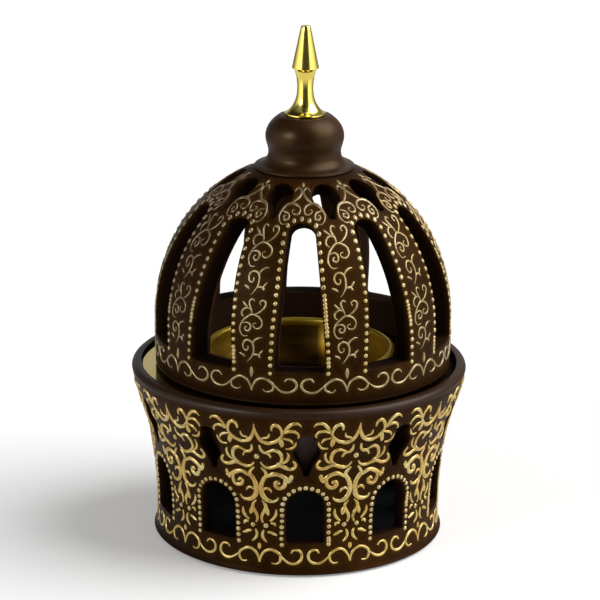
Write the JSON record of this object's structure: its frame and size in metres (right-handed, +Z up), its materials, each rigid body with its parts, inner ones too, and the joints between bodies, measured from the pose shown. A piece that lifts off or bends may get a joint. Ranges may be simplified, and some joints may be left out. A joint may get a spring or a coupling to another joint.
{
  "type": "mabkhara incense burner",
  "caption": "Domed incense burner with a flared arched stand, a metal tray and charcoal cup, a pierced lift-off dome lid, a turned knob and a pointed finial.",
  "frame": {"origin": "middle of the burner's underside, on the surface that it stands on", "axes": "+Z up along the burner's axis through the finial; -Y is the front, with one of the stand's arches facing it; +X is to the right seen from the front"},
  "size_m": [0.1242, 0.1244, 0.1915],
  "materials": {
    "resin": "dark brown cast resin, satin, slightly mottled",
    "inner_resin": "dark brown cast resin, unpolished",
    "black_board": "flat black",
    "felt": "short black felt",
    "gold_metal": "gold-coloured sheet metal, satin",
    "gold_relief": "raised gold paste lines and beads, antique satin",
    "polished_brass": "turned and polished",
    "zinc_steel": "zinc plated"
  },
  "bodies": {
    "base": {"base_shell": "resin", "base_floor": "black_board", "base_felt": "felt", "basin": "inner_resin"},
    "tray": {"tray": "gold_metal"},
    "cup": {"charcoal_cup": "gold_metal"},
    "lid": {"dome_lid": "resin", "knob": "resin", "finial": "polished_brass", "finial_stud": "zinc_steel", "crown_washer": "zinc_steel", "crown_nut": "zinc_steel"}
  },
  "joints": [
    {"name": "tray_lift", "type": "slide", "parent": "base", "child": "tray", "axis": [0, 0, 1], "range_m": [0, 0.03]},
    {"name": "cup_lift", "type": "slide", "parent": "tray", "child": "cup", "axis": [0, 0, 1], "range_m": [0, 0.016]},
    {"name": "lid_lift", "type": "slide", "parent": "tray", "child": "lid", "axis": [0, 0, 1], "range_m": [0, 0.12]}
  ]
}
